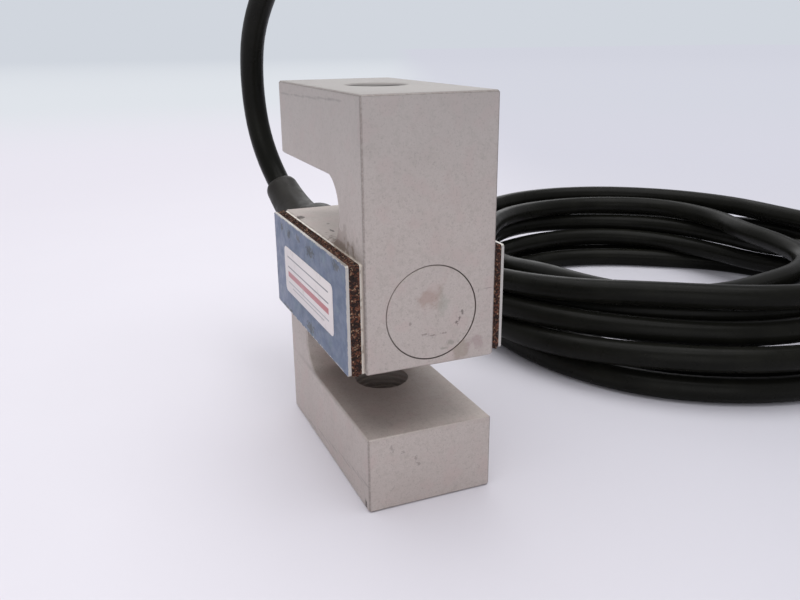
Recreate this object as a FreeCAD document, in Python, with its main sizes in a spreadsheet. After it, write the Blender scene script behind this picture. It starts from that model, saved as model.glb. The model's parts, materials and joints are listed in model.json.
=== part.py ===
import FreeCAD, Part
import Sketcher
import math
import os

# S type load cell with its cable, in millimetres.
# The origin is at the middle of the lower bar's underside. +Z is the load axis.
# X runs along the S profile: the cable leaves at -X and the round end plug is at +X.
# Y runs through the thickness: the blue front cover is at -Y and the rear cover at +Y.

Vector = FreeCAD.Vector

# Driving dimensions: alias, value, meaning
DIMENSIONS = [
    ("body_length", 50.8, "length of the S profile along X"),
    ("body_width", 25.4, "thickness of the body along Y"),
    ("body_height", 76.2, "height over both loading faces"),
    ("bar_height", 15.24, "height of each loading bar"),
    ("slot_height", 12.7, "height of each slot, its end is a full round"),
    ("column_width", 12.7, "column left between a slot's end and the outer face"),
    ("edge_break", 0.4, "chamfer on the body's outer edges"),
    ("thread_bore_radius", 5.7, "wall radius of the half inch threaded holes"),
    ("thread_mouth", 0.7, "chamfer at the threaded holes' mouths in the loading faces"),
    ("web_thickness", 4.8, "sensing web left between the two gauge pockets"),
    ("pocket_radius", 7.94, "radius of each gauge pocket"),
    ("plug_radius", 8.73, "radius of the round end plug"),
    ("plug_thickness", 3.0, "depth of the end plug's seat"),
    ("plug_gap", 0.1, "joint gap round the end plug"),
    ("plug_edge_break", 0.15, "chamfer on the end plug's outer edge"),
    ("chamber_radius", 6.35, "radius of the wiring chamber behind the plug"),
    ("chamber_wall", 3.06, "wall between the gauge pockets and the chamber at either end"),
    ("entry_radius", 5.5, "radius of the cable entry bore"),
    ("splice_radius", 4.4, "radius of the splice chamber behind the entry bore"),
    ("splice_length", 4.4, "length of the splice chamber beyond the entry bore"),
    ("wire_hole_radius", 1.4, "radius of the drilled wire passages"),
    ("wire_hole_inset", 2.0, "distance of each wire passage from the web's face"),
    ("cover_length", 48.3, "length of the side covers along X"),
    ("cover_height", 20.3, "height of the side covers"),
    ("front_cover_shift", 0.3, "offset of the front cover towards +X"),
    ("front_cover_rise", 0.0, "offset of the front cover above the middle"),
    ("rear_cover_shift", -1.0, "offset of the rear cover towards +X"),
    ("rear_cover_rise", 0.2, "offset of the rear cover above the middle"),
    ("cover_corner", 0.5, "corner radius of the covers"),
    ("foil_thickness", 0.45, "metal barrier foil against the body, with its adhesive"),
    ("gasket_thickness", 1.95, "cork composition gasket"),
    ("plate_thickness", 0.55, "aluminium cover plate"),
    ("gauge_length", 4.2, "strain gauge carrier length"),
    ("gauge_breadth", 3.0, "strain gauge carrier width"),
    ("gauge_thickness", 0.12, "strain gauge carrier thickness"),
    ("gauge_spacing", 5.6, "distance between the two gauges of a pocket"),
    ("strip_length", 7.0, "solder terminal strip length"),
    ("strip_height", 2.0, "solder terminal strip height"),
    ("strip_thickness", 0.4, "solder terminal strip thickness"),
    ("strip_drop", 4.6, "terminal strip below the middle of the web"),
    ("potting_floor", 4.0, "height of the potting's inner face above the web"),
    ("board_gap", 0.1, "gap round the compensation board"),
    ("board_thickness", 1.0, "compensation board thickness"),
    ("spool_radius", 2.1, "radius of the balance spool's flanges"),
    ("spool_core_radius", 1.1, "radius of the balance spool's core"),
    ("spool_height", 3.0, "height of the balance spool"),
    ("spool_flange", 0.5, "thickness of the balance spool's flanges"),
    ("winding_radius", 1.75, "radius of the wire wound on the balance spool"),
    ("resistor_length", 3.4, "length of each span resistor"),
    ("resistor_breadth", 1.6, "width of each span resistor"),
    ("resistor_thickness", 0.8, "thickness of each span resistor"),
    ("resistor_offset", 3.3, "distance of each span resistor from the board's middle"),
    ("cable_radius", 3.2, "radius of the cable's black jacket"),
    ("ferrule_length", 4.0, "length of the ferrule between the spigot and the bore's shoulder"),
    ("relief_collar_radius", 7.3, "radius of the strain relief's collar on the body"),
    ("relief_collar_length", 18.6, "length of the strain relief's collar"),
    ("relief_collar_rounding", 0.6, "rounding of the collar's free edge"),
    ("relief_root_radius", 6.2, "strain relief radius where its taper leaves the collar"),
    ("relief_tip_radius", 4.6, "strain relief radius at the taper's far end"),
    ("relief_end_rounding", 2.5, "length of the strain relief's rounded end"),
    ("relief_lip", 0.5, "wall of the strain relief where it ends on the cable"),
    ("relief_length", 53.0, "strain relief length outside the body"),
    ("core_radius", 0.5, "radius of each insulated conductor inside the body"),
    ("core_spread", 1.2, "distance of the conductors from the cable's axis"),
    ("jumper_radius", 0.3, "radius of the fine bridge wires"),
    ("coil_height", 27.5, "height of the loose coil on the floor"),
    ("coil_reach", 69.5, "coil outer half length in the view direction"),
    ("coil_half_width", 66.5, "coil outer half width"),
    ("coil_eye_reach", 48.0, "half length of the coil's open eye"),
    ("coil_eye_half_width", 44.0, "half width of the coil's open eye"),
    ("coil_foot_shift", 5.5, "shift of the coil's lowest turns towards the load cell's front"),
    ("coil_lean", 11.0, "lean of the coil's top away from the load cell"),
    ("coil_rounding", 6.0, "rounding of the coil's outer edges"),
    ("sleeve_radius", 3.9, "radius of the shrink sleeve at the cable's end"),
    ("sleeve_length", 16.0, "length of the shrink sleeve"),
    ("sleeve_overhang", 6.0, "length of the shrink sleeve beyond the jacket's end"),
    ("lead_pitch", 1.9, "spacing of the leads where they leave the sleeve"),
    ("lead_radius", 0.65, "radius of each coloured lead"),
    ("lead_tip_radius", 0.35, "radius of each tinned tip"),
    ("lead_tip_length", 6.0, "length of each tinned tip"),
    ("drain_radius", 0.5, "radius of the bare drain wire"),
]

# Place and turn of the coil on the floor
COIL_CENTRE = (-47.0, 113.0)
COIL_TURN = 48.6

doc = FreeCAD.newDocument("s_type_load_cell")
sheet = doc.addObject("Spreadsheet::Sheet", "dims")


def fill_sheet():
    for row, (alias, value, meaning) in enumerate(DIMENSIONS, start=1):
        sheet.set(f"A{row}", alias)
        sheet.set(f"B{row}", str(value))
        sheet.setAlias(f"B{row}", alias)
        sheet.set(f"C{row}", meaning)
    doc.recompute()


fill_sheet()


def size(alias):
    return float(getattr(sheet, alias))


half_length = size("body_length") / 2
half_width = size("body_width") / 2
middle_height = size("body_height") / 2
web_face = size("web_thickness") / 2
wire_hole_y = web_face + size("wire_hole_inset")
chamber_floor = size("pocket_radius") + size("chamber_wall")
entry_depth = half_length - chamber_floor - size("splice_length")
sub_parts = []


def keep(node):
    sub_parts.append(node)
    return node


def keep_shape(name, shape):
    node = doc.addObject("Part::Feature", name)
    node.Label = name
    node.Shape = shape
    return keep(node)


def bind(node, **expressions):
    for key, expression in expressions.items():
        node.setExpression(key.replace("__", "."), expression)


# The machined body

def body_plane(body, role):
    for feature in body.Origin.OriginFeatures:
        if feature.Role == role:
            return feature
    raise ValueError(role)


def plane_sketch(body, name, role, level="0"):
    sketch = body.newObject("Sketcher::SketchObject", name)
    sketch.AttachmentSupport = [(body_plane(body, role), "")]
    sketch.MapMode = "FlatFace"
    sketch.setExpression("AttachmentOffset.Base.z", level)
    return sketch


def rule(sketch, name, expression, *constraint):
    index = sketch.addConstraint(Sketcher.Constraint(*constraint))
    sketch.renameConstraint(index, name)
    sketch.setExpression("Constraints." + name, expression)


def s_profile(body):
    sketch = plane_sketch(body, "s_profile", "XZ_Plane")
    bar = size("bar_height")
    slot = size("slot_height")
    top = size("body_height")
    lower_roof = bar + slot
    upper_roof = top - bar
    upper_floor = upper_roof - slot
    arc_x = half_length - size("column_width") - slot / 2
    corners = {
        "base": ((-half_length, 0), (half_length, 0)),
        "lower_end": ((half_length, 0), (half_length, bar)),
        "lower_floor": ((half_length, bar), (-arc_x, bar)),
        "lower_roof": ((-arc_x, lower_roof), (half_length, lower_roof)),
        "plug_end": ((half_length, lower_roof), (half_length, top)),
        "crown": ((half_length, top), (-half_length, top)),
        "upper_end": ((-half_length, top), (-half_length, upper_roof)),
        "upper_roof": ((-half_length, upper_roof), (arc_x, upper_roof)),
        "upper_floor": ((arc_x, upper_floor), (-half_length, upper_floor)),
        "cable_end": ((-half_length, upper_floor), (-half_length, 0)),
    }
    line = {}
    for name, (start, end) in corners.items():
        segment = Part.LineSegment(Vector(*start, 0), Vector(*end, 0))
        line[name] = sketch.addGeometry(segment)
    lower_circle = Part.Circle(Vector(-arc_x, bar + slot / 2, 0), Vector(0, 0, 1), slot / 2)
    upper_circle = Part.Circle(Vector(arc_x, upper_floor + slot / 2, 0), Vector(0, 0, 1), slot / 2)
    lower_arc = sketch.addGeometry(Part.ArcOfCircle(lower_circle, math.pi / 2, 3 * math.pi / 2))
    upper_arc = sketch.addGeometry(Part.ArcOfCircle(upper_circle, -math.pi / 2, math.pi / 2))

    def tie(*constraint):
        sketch.addConstraint(Sketcher.Constraint(*constraint))

    joints = [
        ("base", "lower_end"), ("lower_end", "lower_floor"), ("lower_roof", "plug_end"),
        ("plug_end", "crown"), ("crown", "upper_end"), ("upper_end", "upper_roof"),
        ("upper_floor", "cable_end"), ("cable_end", "base"),
    ]
    for first, second in joints:
        tie("Coincident", line[first], 2, line[second], 1)
    for name in ("base", "lower_floor", "lower_roof", "crown", "upper_roof", "upper_floor"):
        tie("Horizontal", line[name])
    for name in ("lower_end", "plug_end", "upper_end", "cable_end"):
        tie("Vertical", line[name])
    tie("Tangent", line["lower_floor"], 2, lower_arc, 2)
    tie("Tangent", lower_arc, 1, line["lower_roof"], 1)
    tie("Tangent", line["upper_roof"], 2, upper_arc, 2)
    tie("Tangent", upper_arc, 1, line["upper_floor"], 1)
    tie("Vertical", line["lower_end"], 2, line["plug_end"], 1)
    tie("Vertical", line["upper_end"], 1, line["cable_end"], 1)
    tie("PointOnObject", line["base"], 1, -1)
    arc_place = "dims.body_length / 2 - dims.column_width - dims.slot_height / 2"
    rule(sketch, "profile_length", "dims.body_length", "DistanceX", line["base"], 1, line["base"], 2,
         2 * half_length)
    rule(sketch, "profile_right", "dims.body_length / 2", "DistanceX", -1, 1, line["base"], 2,
         half_length)
    rule(sketch, "lower_bar", "dims.bar_height", "DistanceY", line["lower_end"], 1,
         line["lower_end"], 2, bar)
    rule(sketch, "lower_slot", "dims.slot_height", "DistanceY", line["lower_floor"], 2,
         line["lower_roof"], 1, slot)
    rule(sketch, "lower_arc_place", arc_place, "DistanceX", lower_arc, 3, -1, 1, arc_x)
    rule(sketch, "profile_height", "dims.body_height", "DistanceY", line["base"], 2,
         line["crown"], 1, top)
    rule(sketch, "upper_bar", "dims.bar_height", "DistanceY", line["upper_end"], 2,
         line["upper_end"], 1, bar)
    rule(sketch, "upper_slot", "dims.slot_height", "DistanceY", line["upper_floor"], 1,
         line["upper_roof"], 2, slot)
    rule(sketch, "upper_arc_place", arc_place, "DistanceX", -1, 1, upper_arc, 3, arc_x)
    return sketch


def bore(body, name, role, level, across, up, radius, depth, turned):
    # A round pocket: its sketch lies on a plane at a level, with its centre across and up
    sketch = plane_sketch(body, name + "_circle", role, level)
    sketch.addGeometry(Part.Circle(Vector(1, 1, 0), Vector(0, 0, 1), 1))
    rule(sketch, "bore_radius", radius, "Radius", 0, 1)
    if across == "0":
        sketch.addConstraint(Sketcher.Constraint("PointOnObject", 0, 3, -2))
    else:
        rule(sketch, "bore_across", across, "DistanceX", -1, 1, 0, 3, 1)
    if up == "0":
        sketch.addConstraint(Sketcher.Constraint("PointOnObject", 0, 3, -1))
    else:
        rule(sketch, "bore_up", up, "DistanceY", -1, 1, 0, 3, 1)
    before = body.Shape.Volume
    pocket = body.newObject("PartDesign::Pocket", name)
    pocket.Profile = sketch
    pocket.Length = 1
    pocket.Reversed = turned
    pocket.setExpression("Length", depth)
    doc.recompute()
    if body.Shape.Volume >= before:
        raise RuntimeError(name + " cuts nothing")
    return pocket


def edge_names(shape, wanted):
    return [f"Edge{i}" for i, edge in enumerate(shape.Edges, start=1) if wanted(edge)]


def on_outline(edge):
    # True for the outline's edges on both side faces and for its square corners along Y
    box = edge.BoundBox
    flat = box.YLength < 1e-6 and abs(abs(box.YMin) - half_width) < 1e-6
    corner = box.YLength > half_width and abs(abs(box.XMin) - half_length) < 1e-6
    return flat or corner


def at_thread_mouth(edge):
    # True for the circles where the threaded holes break out of the two loading faces
    if not isinstance(edge.Curve, Part.Circle):
        return False
    if abs(edge.Curve.Radius - size("thread_bore_radius")) > 1e-6:
        return False
    return any(abs(edge.Curve.Center.z - level) < 1e-6 for level in (0, size("body_height")))


def chamfer(body, name, base, wanted, breadth):
    feature = body.newObject("PartDesign::Chamfer", name)
    feature.Base = (base, edge_names(base.Shape, wanted))
    feature.Size = 0.1
    feature.setExpression("Size", breadth)
    doc.recompute()
    return feature


def spring_element():
    body = doc.addObject("PartDesign::Body", "spring_element")
    body.Label = "spring_element"
    pad = body.newObject("PartDesign::Pad", "s_block")
    pad.Profile = s_profile(body)
    pad.SideType = "Symmetric"
    pad.Length = 1
    pad.setExpression("Length", "dims.body_width")
    body.Tip = pad
    doc.recompute()
    chamfer(body, "broken_edges", pad, on_outline, "dims.edge_break")
    middle = "dims.body_height / 2"
    side = "dims.body_width / 2"
    end = "dims.body_length / 2"
    pocket_depth = "(dims.body_width - dims.web_thickness) / 2"
    chamber_depth = end + " - dims.pocket_radius - dims.chamber_wall"
    # The holes run on into the slots, also where a shorter body brings a slot's round end over them
    thread_depth = "dims.bar_height + dims.slot_height / 2"
    bore(body, "upper_thread", "XY_Plane", "dims.body_height", "0", "0",
         "dims.thread_bore_radius", thread_depth, False)
    last = bore(body, "lower_thread", "XY_Plane", "0", "0", "0",
                "dims.thread_bore_radius", thread_depth, True)
    chamfer(body, "thread_mouths", last, at_thread_mouth, "dims.thread_mouth")
    bore(body, "front_pocket", "XZ_Plane", side, "0", middle,
         "dims.pocket_radius", pocket_depth, False)
    bore(body, "rear_pocket", "XZ_Plane", "-" + side, "0", middle,
         "dims.pocket_radius", pocket_depth, True)
    bore(body, "plug_seat", "YZ_Plane", end, "0", middle,
         "dims.plug_radius + dims.plug_gap", "dims.plug_thickness", False)
    bore(body, "wiring_chamber", "YZ_Plane", end, "0", middle,
         "dims.chamber_radius", chamber_depth, False)
    bore(body, "cable_entry", "YZ_Plane", "-" + end, "0", middle,
         "dims.entry_radius", chamber_depth + " - dims.splice_length", True)
    bore(body, "splice_chamber", "YZ_Plane", "-" + end, "0", middle,
         "dims.splice_radius", chamber_depth, True)
    passage = "2 * (dims.pocket_radius + dims.chamber_wall) + 2"
    start = "-dims.pocket_radius - dims.chamber_wall - 1"
    for name, sign in (("front_passage", "-"), ("rear_passage", "")):
        across = f"{sign}(dims.web_thickness / 2 + dims.wire_hole_inset)"
        bore(body, name, "YZ_Plane", start, across, middle, "dims.wire_hole_radius", passage, True)
    return keep(body)


spring_element()


# The end plug and the layered side covers

def end_plug():
    disc = doc.addObject("Part::Cylinder", "plug_disc")
    bind(disc, Radius="dims.plug_radius", Height="dims.plug_thickness")
    disc.Placement = FreeCAD.Placement(Vector(1, 0, 1), FreeCAD.Rotation(Vector(0, 1, 0), 90))
    bind(disc, Placement__Base__x="dims.body_length / 2 - dims.plug_thickness",
         Placement__Base__z="dims.body_height / 2")
    doc.recompute()
    plug = doc.addObject("Part::Chamfer", "end_plug")
    plug.Label = "end_plug"
    plug.Base = disc
    edges = [i for i, edge in enumerate(disc.Shape.Edges, start=1)
             if edge.BoundBox.XLength < 1e-6 and edge.BoundBox.XMin > half_length - 0.1]
    edge_break = size("plug_edge_break")
    plug.Edges = [(i, edge_break, edge_break) for i in edges]
    keep(plug)


def cover_layer(side_name, layer_name, side, inner, thickness):
    # One sheet of a side cover; inner is its distance from the body's side face
    name = side_name + "_" + layer_name
    shift = f"dims.{side_name}_cover_shift"
    rise = f"dims.{side_name}_cover_rise"
    layer = doc.addObject("Part::Box", name + "_sheet")
    bind(layer, Length="dims.cover_length", Width=thickness, Height="dims.cover_height")
    face = "dims.body_width / 2 + " + inner
    if side < 0:
        face = f"-({face}) - {thickness}"
    bind(layer, Placement__Base__x=shift + " - dims.cover_length / 2", Placement__Base__y=face,
         Placement__Base__z=rise + " + (dims.body_height - dims.cover_height) / 2")
    doc.recompute()
    sheet_node = doc.addObject("Part::Fillet", name)
    sheet_node.Label = name
    sheet_node.Base = layer
    corner = size("cover_corner")
    uprights = [i for i, edge in enumerate(layer.Shape.Edges, start=1)
                if edge.BoundBox.XLength < 1e-6 and edge.BoundBox.ZLength < 1e-6]
    sheet_node.Edges = [(i, corner, corner) for i in uprights]
    keep(sheet_node)


end_plug()
for side_name, side_sign in (("front", -1), ("rear", 1)):
    cover_layer(side_name, "barrier_foil", side_sign, "0", "dims.foil_thickness")
    cover_layer(side_name, "gasket", side_sign, "dims.foil_thickness", "dims.gasket_thickness")
    cover_layer(side_name, "cover_plate", side_sign, "dims.foil_thickness + dims.gasket_thickness",
                "dims.plate_thickness")


# Wires and cords: straight runs joined by tangent arcs

def rounded_route(points, share=0.45):
    # Edges of a route whose corners are arcs of share times the shorter run over the half turn's tangent
    places = [Vector(*point) for point in points]
    edges = []
    radii = []
    start = places[0]
    for before, corner, after in zip(places, places[1:], places[2:]):
        back = before - corner
        ahead = after - corner
        trim = share * min(back.Length, ahead.Length)
        back.normalize()
        ahead.normalize()
        half_turn = (math.pi - back.getAngle(ahead)) / 2
        radius = trim / math.tan(half_turn)
        first = corner + back * trim
        last = corner + ahead * trim
        inward = (back + ahead).normalize()
        centre_distance = radius / math.cos(half_turn)
        middle = corner + inward * (centre_distance - radius)
        edges.append(Part.LineSegment(start, first).toShape())
        edges.append(Part.Arc(first, middle, last).toShape())
        radii.append(radius)
        start = last
    edges.append(Part.LineSegment(start, places[-1]).toShape())
    return edges, radii


def swept(edges, radius):
    path = Part.Wire(edges)
    heading = edges[0].tangentAt(edges[0].FirstParameter)
    ring = Part.Wire(Part.makeCircle(radius, edges[0].valueAt(edges[0].FirstParameter), heading))
    solid = path.makePipeShell([ring], True, False)
    expected = math.pi * radius ** 2 * path.Length
    if abs(solid.Volume - expected) > 0.01 * expected:
        raise RuntimeError(f"swept volume {solid.Volume:.1f} is not {expected:.1f}")
    return solid


def wire(points, radius):
    return swept(rounded_route(points)[0], radius)


# Strain gauges, terminal strips, potting and fine wires in the two pockets

def slab(centre, lengths, turn=0):
    # A thin block round a centre, turned about Y
    block = Part.makeBox(*lengths, Vector(*(-value / 2 for value in lengths)))
    block.rotate(Vector(0, 0, 0), Vector(0, 1, 0), turn)
    block.translate(Vector(*centre))
    return block


def pocket_pieces(name, sign):
    thickness = size("gauge_thickness")
    gauge_lengths = (size("gauge_length"), thickness, size("gauge_breadth"))
    gauge_y = sign * (web_face + thickness / 2)
    for part_name, place, turn in (("left", -0.5, 45), ("right", 0.5, -45)):
        centre = (place * size("gauge_spacing"), gauge_y, middle_height)
        keep_shape(f"{name}_gauge_{part_name}", slab(centre, gauge_lengths, turn))
    strip_z = middle_height - size("strip_drop")
    strip_y = sign * (web_face + size("strip_thickness") / 2)
    strip_lengths = (size("strip_length"), size("strip_thickness"), size("strip_height"))
    keep_shape(name + "_terminal_strip", slab((0, strip_y, strip_z), strip_lengths))
    inner = web_face + size("potting_floor")
    depth = half_width - inner
    potting = Part.makeCylinder(size("pocket_radius"), depth, Vector(0, sign * inner, middle_height),
                                Vector(0, sign, 0))
    keep_shape(name + "_potting", potting)


def bridge_wires(name, sign):
    # Two fine wires from the terminal strip through the passage to the compensation board
    strip_z = middle_height - size("strip_drop")
    pad_y = sign * (web_face + size("strip_thickness"))
    lane = sign * wire_hole_y
    spread = size("wire_hole_radius") / 2
    board_face = chamber_floor + size("board_thickness")
    wires = []
    for place, rise in ((1.0, -spread), (2.6, spread)):
        level = middle_height + rise
        points = [
            (place, pad_y, strip_z),
            (place, lane, strip_z),
            (place + 3.0, lane, level),
            (board_face + 0.8, lane, level),
        ]
        wires.append(wire(points, size("jumper_radius")))
    keep_shape(name + "_bridge_wires", Part.makeCompound(wires))


def inner_conductors():
    # The cable's four conductors, from the stripped jacket to the terminal strips
    jacket_end = -half_length + entry_depth
    strip_z = middle_height - size("strip_drop")
    spread = size("core_spread") / math.sqrt(2)
    rise = size("core_radius") + 0.1
    for name, sign, level, place in (("red", -1, -1, -2.6), ("black", -1, 1, -1.0),
                                     ("green", 1, -1, -2.6), ("white", 1, 1, -1.0)):
        pad_y = sign * (web_face + size("strip_thickness"))
        lane = sign * wire_hole_y
        lane_z = middle_height + level * rise
        points = [
            (jacket_end, sign * spread, middle_height + level * spread),
            (jacket_end + 0.36 * size("splice_length"), sign * spread, middle_height + level * spread),
            (-chamber_floor, lane, lane_z),
            (place - 3.0, lane, lane_z),
            (place, lane, strip_z),
            (place, pad_y, strip_z),
        ]
        keep_shape("inner_conductor_" + name, wire(points, size("core_radius")))


for side_name, side_sign in (("front", -1), ("rear", 1)):
    pocket_pieces(side_name, side_sign)
    bridge_wires(side_name, side_sign)
inner_conductors()


# The compensation board and its parts in the wiring chamber

def compensation_board():
    thickness = size("board_thickness")
    radius = size("chamber_radius") - size("board_gap")
    along = Vector(1, 0, 0)
    board = Part.makeCylinder(radius, thickness, Vector(chamber_floor, 0, middle_height), along)
    for sign in (-1, 1):
        hole = Part.makeCylinder(size("wire_hole_radius"), thickness,
                                 Vector(chamber_floor, sign * wire_hole_y, middle_height), along)
        board = board.cut(hole)
    keep_shape("compensation_board", board)


def balance_spool():
    # A turned bobbin with its winding, standing on the board
    floor_x = chamber_floor + size("board_thickness")
    flange = size("spool_flange")
    height = size("spool_height")
    rim = size("spool_radius")
    core = size("spool_core_radius")
    outline = [(0, 0), (rim, 0), (rim, flange), (core, flange), (core, height - flange),
               (rim, height - flange), (rim, height), (0, height), (0, 0)]
    face = Part.Face(Part.makePolygon([Vector(floor_x + along, 0, middle_height + out)
                                       for out, along in outline]))
    axis_point = Vector(floor_x, 0, middle_height)
    keep_shape("balance_spool", face.revolve(axis_point, Vector(1, 0, 0), 360))
    start = Vector(floor_x + flange, 0, middle_height)
    winding = Part.makeCylinder(size("winding_radius"), height - 2 * flange, start, Vector(1, 0, 0))
    winding = winding.cut(Part.makeCylinder(core, height - 2 * flange, start, Vector(1, 0, 0)))
    keep_shape("balance_winding", winding)


def span_resistors():
    floor_x = chamber_floor + size("board_thickness")
    thickness = size("resistor_thickness")
    pair = []
    for sign in (-1, 1):
        corner = Vector(floor_x, -size("resistor_length") / 2,
                        middle_height + sign * size("resistor_offset") - size("resistor_breadth") / 2)
        pair.append(Part.makeBox(thickness, size("resistor_length"), size("resistor_breadth"), corner))
    keep_shape("span_resistors", Part.makeCompound(pair))


compensation_board()
balance_spool()
span_resistors()


# The cable's route: it leaves the entry bore, bends up out of the strain relief,
# passes over behind the body and comes down on the coil

ROUTE_IN_AIR = [
    (-74.5, 0.0, 41.5),
    (-84.5, -3.9, 56.0),
    (-85.3, -5.4, 73.2),
    (-77.0, -5.6, 89.0),
    (-60.0, -2.0, 104.0),
    (-36.0, 9.0, 114.5),
    (-6.0, 30.0, 119.0),
    (19.0, 59.0, 114.0),
    (32.0, 94.0, 99.0),
    (33.0, 127.0, 75.0),
    (22.0, 152.0, 48.0),
    (1.0, 168.0, 31.0),
    (-24.0, 171.0, 24.0),
    (-44.0, 166.0, 20.0),
]


def cable_route():
    jacket_end = (-half_length + entry_depth, 0, middle_height)
    root = (-half_length - 11.0, 0, middle_height)
    sag = (-half_length - 31.0, 1.6, middle_height - 2.3)
    return [jacket_end, root, sag] + ROUTE_IN_AIR


def place_at(edges, distance):
    # Point and heading at a distance along a route
    for edge in edges:
        if distance <= edge.Length:
            parameter = edge.getParameterByLength(distance)
            return edge.valueAt(parameter), edge.tangentAt(parameter)
        distance -= edge.Length
    raise ValueError("beyond the route's end")


def ring_at(edges, distance, radius):
    point, heading = place_at(edges, entry_depth + distance)
    return Part.Wire(Part.makeCircle(radius, point, heading))


def strain_relief(edges, cable):
    # A moulded boot round the cable: a collar on the body, a taper that follows the bend and a rounded end
    outward = Vector(-1, 0, 0)
    seat = Vector(-half_length, 0, middle_height)
    collar_length = size("relief_collar_length")
    collar = Part.makeCylinder(size("relief_collar_radius"), collar_length, seat, outward)
    free_edges = [edge for edge in collar.Edges if abs(edge.CenterOfMass.x + half_length + collar_length) < 0.01]
    collar = collar.makeFillet(size("relief_collar_rounding"), free_edges)
    root = size("relief_root_radius")
    tip = size("relief_tip_radius")
    rounding = size("relief_end_rounding")
    # The taper starts inside the collar, because it leaves the collar at a slight angle
    taper_start = collar_length - root / 4
    taper_end = size("relief_length") - rounding
    rings = []
    for share in (0, 0.25, 0.5, 0.75, 1):
        distance = taper_start + share * (taper_end - taper_start)
        rings.append(ring_at(edges, distance, root + share * (tip - root)))
    taper = Part.makeLoft(rings, True, False)
    lip_radius = size("cable_radius") + size("relief_lip")
    end_rings = []
    for share in (0, 0.5, 0.8, 1):
        radius = lip_radius + (tip - lip_radius) * math.sqrt(1 - share * share)
        end_rings.append(ring_at(edges, taper_end + share * rounding, radius))
    rounded_end = Part.makeLoft(end_rings, True, False)
    spigot_length = entry_depth - size("ferrule_length")
    spigot = Part.makeCylinder(size("entry_radius"), spigot_length, seat, Vector(1, 0, 0))
    relief = collar.fuse([spigot, taper, rounded_end]).cut(cable)
    keep_shape("strain_relief", relief)


def cable_ferrule():
    # A crimped brass sleeve on the jacket, between the spigot and the bore's shoulder
    length = size("ferrule_length")
    start = Vector(-half_length + entry_depth - length, 0, middle_height)
    along = Vector(1, 0, 0)
    ferrule = Part.makeCylinder(size("entry_radius"), length, start, along)
    keep_shape("cable_ferrule", ferrule.cut(Part.makeCylinder(size("cable_radius"), length, start, along)))


# The coil on the floor, the cable's free end and its coloured leads

def on_floor(across, towards, height):
    # A place given in the coil's own directions: across the view and towards the load cell's front
    turn = math.radians(COIL_TURN)
    x = COIL_CENTRE[0] + across * math.cos(turn) + towards * math.sin(turn)
    y = COIL_CENTRE[1] + across * math.sin(turn) - towards * math.cos(turn)
    return x, y, height


def oval(reach, half_width, shift, level):
    # A level oval round the coil's centre, longest in the view direction
    centre = Vector(*on_floor(0, shift, level))
    longest = Vector(*on_floor(0, shift + reach, level))
    breadth = Vector(*on_floor(half_width, shift, level))
    return Part.Wire(Part.Edge(Part.Ellipse(longest, breadth, centre)))


def coil_solid():
    # The outer shape of the coil: leaning oval rings joined level by level, with an open eye
    lean = size("coil_lean")
    height = size("coil_height")
    rounding = size("coil_rounding")
    outside = []
    eye = []
    for rise, inset in ((0, 0.6), (0.16, 0), (0.74, 0), (0.92, 0.5), (1, 1.2)):
        shift = size("coil_foot_shift") - lean * rise
        level = height * rise
        margin = rounding * inset
        outside.append(oval(size("coil_reach") - margin, size("coil_half_width") - margin, shift, level))
        eye.append(oval(size("coil_eye_reach") + margin, size("coil_eye_half_width") + margin, shift, level))
    return Part.makeLoft(outside, True, True).cut(Part.makeLoft(eye, True, True))


# The cable's free end beside the coil: across, towards and height in the coil's directions
TAIL_ROUTE = [(46.0, 50.0, 3.2), (60.0, 33.0, 3.2), (69.5, 12.0, 3.9), (73.0, -12.0, 3.9)]

# Coloured leads: side and level where they leave the sleeve, and how far they fan out on the floor
LEADS = [("red", 1, 1, 8.0), ("black", 1, -1, 3.4), ("green", -1, -1, -3.4), ("white", -1, 1, -8.0)]


def free_end(coil):
    # The last stretch of jacket, a shrink sleeve over its end, and the coloured leads with tinned tips
    edges, radii = rounded_route([on_floor(*place) for place in TAIL_ROUTE])
    print("tail radii", [round(value, 1) for value in radii])
    tail = swept(edges, size("cable_radius"))
    keep_shape("cable_tail", tail.cut(coil))
    jacket_end = edges[-1].valueAt(edges[-1].LastParameter)
    heading = edges[-1].tangentAt(edges[-1].LastParameter)
    length = size("sleeve_length")
    sleeve_start = jacket_end - heading * (length - size("sleeve_overhang"))
    sleeve = Part.makeCylinder(size("sleeve_radius"), length, sleeve_start, heading)
    keep_shape("cable_end_sleeve", sleeve.cut(tail))
    leads(jacket_end + heading * size("sleeve_overhang"), heading)


def leads(start, heading):
    sideways = Vector(-heading.y, heading.x, 0)
    pitch = size("lead_pitch") / 2
    tips = []
    for name, side, level, fan in LEADS:
        radius = size("lead_radius")
        first = start + sideways * (side * pitch) + Vector(0, 0, level * pitch)
        fall = Vector(0, 0, radius - start.z)
        points = [first, first + heading * 5]
        for distance, share in ((17, 0.6), (34, 0.85), (54, 1.0)):
            points.append(start + heading * distance + sideways * (fan * share) + fall)
        points[-1] = points[-1] + sideways * (0.2 * fan)
        keep_shape("lead_" + name, wire(points, radius))
        tip_heading = (points[-1] - points[-2]).normalize()
        tips.append(Part.makeCylinder(size("lead_tip_radius"), size("lead_tip_length"), points[-1], tip_heading))
    keep_shape("lead_tips", Part.makeCompound(tips))
    drain = size("drain_radius")
    fall = Vector(0, 0, drain - start.z)
    points = [start, start + heading * 5, start + heading * 18 + sideways * 0.8 + fall,
              start + heading * 34 - sideways * 0.6 + fall]
    keep_shape("drain_wire", wire(points, drain))


def cable():
    edges, radii = rounded_route(cable_route())
    print("cable radii", [round(value, 1) for value in radii])
    tube = swept(edges, size("cable_radius"))
    print("cable tube length", round(sum(edge.Length for edge in edges), 1))
    coil = coil_solid()
    strain_relief(edges, tube)
    cable_ferrule()
    keep_shape("cable_tube", tube.cut(coil))
    keep_shape("cable_coil", coil)
    free_end(coil)


cable()


# Checks and export

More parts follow.
